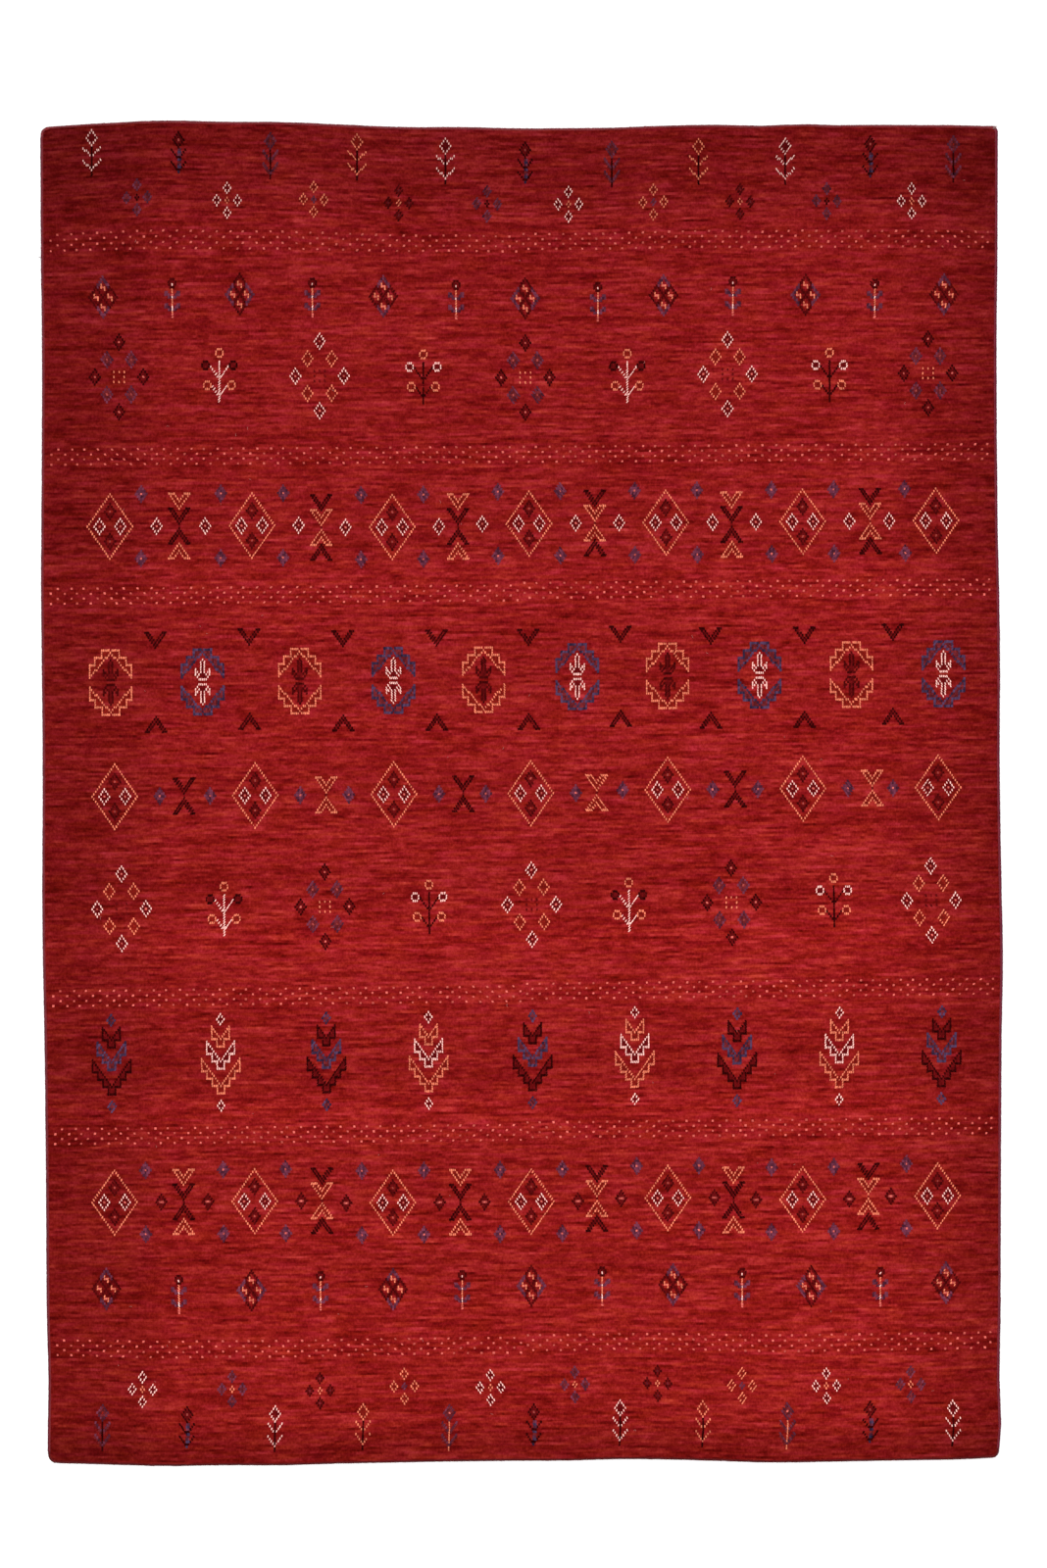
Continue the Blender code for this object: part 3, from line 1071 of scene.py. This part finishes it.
def make_motifs(knots):
    """One piece of tufts for each motif yarn."""
    made = []
    tips = PILE_TOP + MOTIF_RISE
    for yarn, (darkest, lightest, fill) in YARNS.items():
        places = np.array([place for place, own in knots.items() if own == yarn], float)
        material = make_yarn(yarn + " yarn", darkest, lightest)
        name = yarn + "_motif_knots"
        made.append(make_tufts(name, places[:, 0], places[:, 1], 0.0, tips, fill, 0.0, material))
    return made


WRAP_PITCH = 0.0044
WRAP_STEPS = 4
CORD_SIDES = 10
CORD_FLATNESS = 0.75
CREST_BAND = 0.0002
# How wraps vary: each on its own, and slowly over some wraps
SCALLOP_MIDDLE = 0.6
OWN_BULGE = 0.015
SLOW_BULGE = 0.03
SLOW_WRAPS = 5
WRAP_SWAY = 0.0001
WRAP_SLANT = 0.0009
# The right cord thins and turns in over this length at the square top corner
CORNER_TAPER = 0.010
CORNER_THINNING = 0.4
CORNER_TURN = 0.0022


def cord_path(node):
    """The middle line of a cord's solid, from the highest point of each of its sections."""
    points = node_points(node)
    crest = points[points[:, 2] > points[:, 2].max() - CREST_BAND][:, :2]
    crest = np.unique(crest.round(6), axis=0)
    middle = points[:, :2].mean(axis=0)
    turn = np.arctan2(middle[0] * crest[:, 1] - middle[1] * crest[:, 0], crest @ middle)
    return crest[np.argsort(turn)]


def make_overcast_cord(node):
    """A cord wrapped in wool turns, along the middle line of the solid that it replaces."""
    shaded_flank, crest, scallops, extra = CORDS[node]
    material = make_cord_wool(node + " wool", shaded_flank, crest)
    path = cord_path(node)
    low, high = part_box(node)
    half_high = (high[2] - low[2]) / 2
    half_wide = half_high * CORD_FLATNESS + extra / 2
    run = np.concatenate(((0,), np.cumsum(np.hypot(*np.diff(path, axis=0).T))))
    wraps = round(run[-1] / WRAP_PITCH)
    count = wraps * WRAP_STEPS + 1
    place = np.linspace(0, run[-1], count)
    x = np.interp(place, run, path[:, 0])
    y = np.interp(place, run, path[:, 1])
    along_x, along_y = np.gradient(x), np.gradient(y)
    length = np.hypot(along_x, along_y)
    along_x, along_y = along_x / length, along_y / length
    wrap = np.arange(count) / WRAP_STEPS
    own = rng.normal(size=wraps + 1)[np.floor(wrap).astype(int)]
    slow_places = np.arange(0, wraps + SLOW_WRAPS + 1, SLOW_WRAPS)
    slow = np.interp(wrap, slow_places, rng.normal(size=len(slow_places)))
    scallop = scallops * (np.abs(np.sin(math.pi * wrap)) - SCALLOP_MIDDLE)
    bulge = 1.0 + scallop + OWN_BULGE * own + SLOW_BULGE * slow
    sway = extra / 2 + WRAP_SWAY * rng.normal(size=wraps + 1)[np.floor(wrap).astype(int)]
    if node == "selvedge_right":
        near_top = blend(place, run[-1] - CORNER_TAPER, run[-1])
        bulge = bulge * (1 - CORNER_THINNING * near_top)
        sway = sway - CORNER_TURN * near_top
    angle = 2 * math.pi * np.arange(CORD_SIDES) / CORD_SIDES
    aside = np.outer(bulge, np.cos(angle)) * half_wide + sway[:, None]
    up = np.outer(np.minimum(bulge, 1.0), np.sin(angle)) * half_high
    slant = WRAP_SLANT * np.cos(angle)[None, :] * np.ones((count, 1))
    slant[0] = slant[-1] = 0
    x = x[:, None] + along_y[:, None] * aside + along_x[:, None] * slant
    y = y[:, None] - along_x[:, None] * aside + along_y[:, None] * slant
    points = np.stack((x, y, low[2] + half_high + up), -1)
    index = np.arange(count * CORD_SIDES).reshape(count, CORD_SIDES)
    step = np.roll(index, -1, axis=1)
    faces = np.stack((index[:-1], step[:-1], step[1:], index[1:]), -1).reshape(-1, 4).tolist()
    faces.append(index[0, ::-1].tolist())
    faces.append(index[-1].tolist())
    inward = np.tile(0.5 - 0.5 * np.cos(angle), count)
    knots = np.stack((np.repeat(wrap, CORD_SIDES), inward), -1)
    made = make_mesh("overcast_" + node, points.reshape(-1, 3), faces, knots, material)
    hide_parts(node)
    return made


# The rim's tufts: their lean, how far their tips lie under the pile's top, and where they start
RIM_LEAN = 0.0018
RIM_LEAN_SPREAD = 0.0004
RIM_DROP = 0.0012
RIM_BASE = 0.0086


def make_rim_tufts():
    """Tufts that lean out over the edge cords, all round the pile."""
    columns = np.arange(1.0, KNOT_COLUMNS - 1)
    rows = np.arange(1.0, KNOT_ROWS - 1)
    bottom = np.zeros_like(columns)
    left = np.zeros_like(rows)
    column = np.concatenate((columns, columns, left, left + KNOT_COLUMNS - 1))
    row = np.concatenate((bottom, bottom + KNOT_ROWS - 1, rows, rows))
    counts = (len(columns), len(columns), len(rows), len(rows))
    outward = np.repeat(np.array(((0, -1), (0, 1), (-1, 0), (1, 0)), float), counts, axis=0)
    lean = outward * rng.normal(RIM_LEAN, RIM_LEAN_SPREAD, (len(column), 1))
    tips = PILE_TOP - RIM_DROP
    return make_tufts("rim_tufts", column, row, RIM_BASE, tips, (1.0, 1.0), lean, make_rim_wool())


THREAD_SIDES = 5
THREAD_ENDS = 0.5
# A direction that no thread runs along
NEARLY_UP = (0.12, 0.05, 1.0)


def thread(points, radius):
    """Points and faces of a thin closed tube through points."""
    path = np.array(points, float)
    along = np.gradient(path, axis=0)
    along /= np.linalg.norm(along, axis=1, keepdims=True)
    side = np.cross(along, NEARLY_UP)
    side /= np.linalg.norm(side, axis=1, keepdims=True)
    over = np.cross(side, along)
    angle = 2 * math.pi * np.arange(THREAD_SIDES) / THREAD_SIDES
    taper = np.full(len(path), radius)
    taper[0] = taper[-1] = radius * THREAD_ENDS
    aside = np.cos(angle)[None, :, None] * side[:, None, :]
    above = np.sin(angle)[None, :, None] * over[:, None, :]
    rings = path[:, None, :] + taper[:, None, None] * (aside + above)
    index = np.arange(len(path) * THREAD_SIDES).reshape(len(path), THREAD_SIDES)
    step = np.roll(index, -1, axis=1)
    faces = np.stack((index[:-1], index[1:], step[1:], step[:-1]), -1).reshape(-1, 4).tolist()
    faces.append(index[0].tolist())
    faces.append(index[-1, ::-1].tolist())
    return rings.reshape(-1, 3), faces


def make_threads(name, paths, radius, material):
    points, faces = [], []
    for path in paths:
        start = sum(len(part) for part in points)
        own_points, own_faces = thread(path, radius)
        points.append(own_points)
        faces += [[start + corner for corner in face] for face in own_faces]
    points = np.concatenate(points)
    made = make_mesh(name, points, faces, points[:, :2] / MILLIMETRE, material)
    return made


# Fibres caught on the pile
LINT_COUNT = 60
LINT_ACROSS = 0.8
LINT_ALONG = 1.15
LINT_POINTS = 7
LINT_STEPS = (0.0003, 0.0011)
LINT_CURL = 0.35
LINT_HEIGHT = 0.0004
LINT_WAVE = 0.0003
LINT_RADIUS = 0.00028


def make_lint():
    """Pale curled fibres caught on the pile."""
    paths = []
    for _ in range(LINT_COUNT):
        x, y = rng.uniform(-LINT_ACROSS, LINT_ACROSS), rng.uniform(-LINT_ALONG, LINT_ALONG)
        turn, curl = rng.uniform(0, 2 * math.pi), rng.normal(0, LINT_CURL)
        step = rng.uniform(*LINT_STEPS)
        path = []
        for number in range(LINT_POINTS):
            path.append((x, y, PILE_TOP + LINT_HEIGHT + LINT_WAVE * math.sin(number)))
            x += step * math.cos(turn)
            y += step * math.sin(turn)
            turn += curl
        paths.append(path)
    material = make_plain_wool("pale fibre", (0.42, 0.16, 0.14))
    return make_threads("caught_fibres", paths, LINT_RADIUS, material)


LOOSE_RADIUS = 0.0006
LOOSE_PLACE = 0.956
LOOSE_THREAD = (
    # outward from the pile's left edge, along the rug, height
    (0.0040, 0.9540, 0.0060),
    (0.0070, 0.9560, 0.0055),
    (0.0100, 0.9570, 0.0040),
    (0.0125, 0.9565, 0.0020),
)
WARP_RADIUS = 0.0008
WARPS_ASIDE = (0.000, 0.002, 0.004)
# Where the top edge and the right edge are read for the stub
STUB_PLACES = (0.83, 1.17)
STUB_PATH = (
    # across from the corner, along, height
    (-0.002, 0.001, 0.0088),
    (0.000, 0.004, 0.0088),
    (0.001, 0.0065, 0.0085),
)


def make_loose_ends():
    """A thread that sticks out of the left cord, and the warps' stub at the square top corner."""
    left = edge("left", LOOSE_PLACE)
    sticking = [(left - out, along, height) for out, along, height in LOOSE_THREAD]
    top = edge("top", STUB_PLACES[0])
    stub = []
    for aside in WARPS_ASIDE:
        right = edge("right", STUB_PLACES[1]) + aside
        stub.append([(right + across, top + along, height) for across, along, height in STUB_PATH])
    plum = make_plain_wool("loose plum wool", (0.05, 0.012, 0.016))
    grey = make_plain_wool("warp cotton", (0.30, 0.20, 0.19))
    return [
        make_threads("loose_thread", [sticking], LOOSE_RADIUS, plum),
        make_threads("corner_warp_stub", stub, WARP_RADIUS, grey),
    ]


# Floor, light and camera

IMAGE_HEIGHT = 1600
PIXEL = 0.00175
CORD_LEVEL = 0.004
VIEW_X, VIEW_Y = 0.0034, 0.0166
CAMERA_HEIGHT = 7.0
SENSOR = 36.0
FLOOR_REACH = 30.0
FLOOR_LEVEL = -0.0002
FLOOR_WHITE = (0.98, 0.98, 0.98, 1)
SKY_WHITE = (1, 1, 1, 1)
SKY_STRENGTH = 1.44
LAMP_STRENGTH = 0.75
LAMP_SPREAD = math.radians(25)
LAMP_TURN = (math.radians(-38), math.radians(-22), 0)


def make_floor():
    mesh = bpy.data.meshes.new("floor")
    sides = ((-1, -1), (1, -1), (1, 1), (-1, 1))
    corners = [(x * FLOOR_REACH, y * FLOOR_REACH, FLOOR_LEVEL) for x, y in sides]
    mesh.from_pydata(corners, [], [(0, 1, 2, 3)])
    floor = add_object("floor", mesh)
    material = bpy.data.materials.new("plain floor")
    material.use_nodes = True
    surface = material.node_tree.nodes["Principled BSDF"]
    surface.inputs["Base Color"].default_value = FLOOR_WHITE
    surface.inputs["Roughness"].default_value = 1.0
    surface.inputs["Specular IOR Level"].default_value = 0.0
    mesh.materials.append(material)


def make_light():
    world = bpy.data.worlds.new("studio")
    world.use_nodes = True
    world.node_tree.nodes["Background"].inputs["Color"].default_value = SKY_WHITE
    world.node_tree.nodes["Background"].inputs["Strength"].default_value = SKY_STRENGTH
    bpy.context.scene.world = world
    lamp = bpy.data.lights.new("soft key", "SUN")
    lamp.energy = LAMP_STRENGTH
    lamp.angle = LAMP_SPREAD
    add_object("soft key", lamp).rotation_euler = LAMP_TURN


def make_camera():
    lens = bpy.data.cameras.new("camera")
    lens.sensor_width = SENSOR
    lens.lens = SENSOR * (CAMERA_HEIGHT - CORD_LEVEL) / (IMAGE_HEIGHT * PIXEL)
    camera = add_object("camera", lens)
    camera.location = (VIEW_X, VIEW_Y, CAMERA_HEIGHT)
    bpy.context.scene.camera = camera


def main():
    make_camera()
    field_wool = make_field_wool()
    knots = knot_pattern()
    pile = make_pile(field_wool, knots)
    others = make_motifs(knots)
    others.append(make_rim_tufts())
    for node in CORDS:
        others.append(make_overcast_cord(node))
    others.append(make_lint())
    others += make_loose_ends()
    make_floor()
    make_light()
    bpy.context.scene.view_settings.view_transform = "Standard"


main()
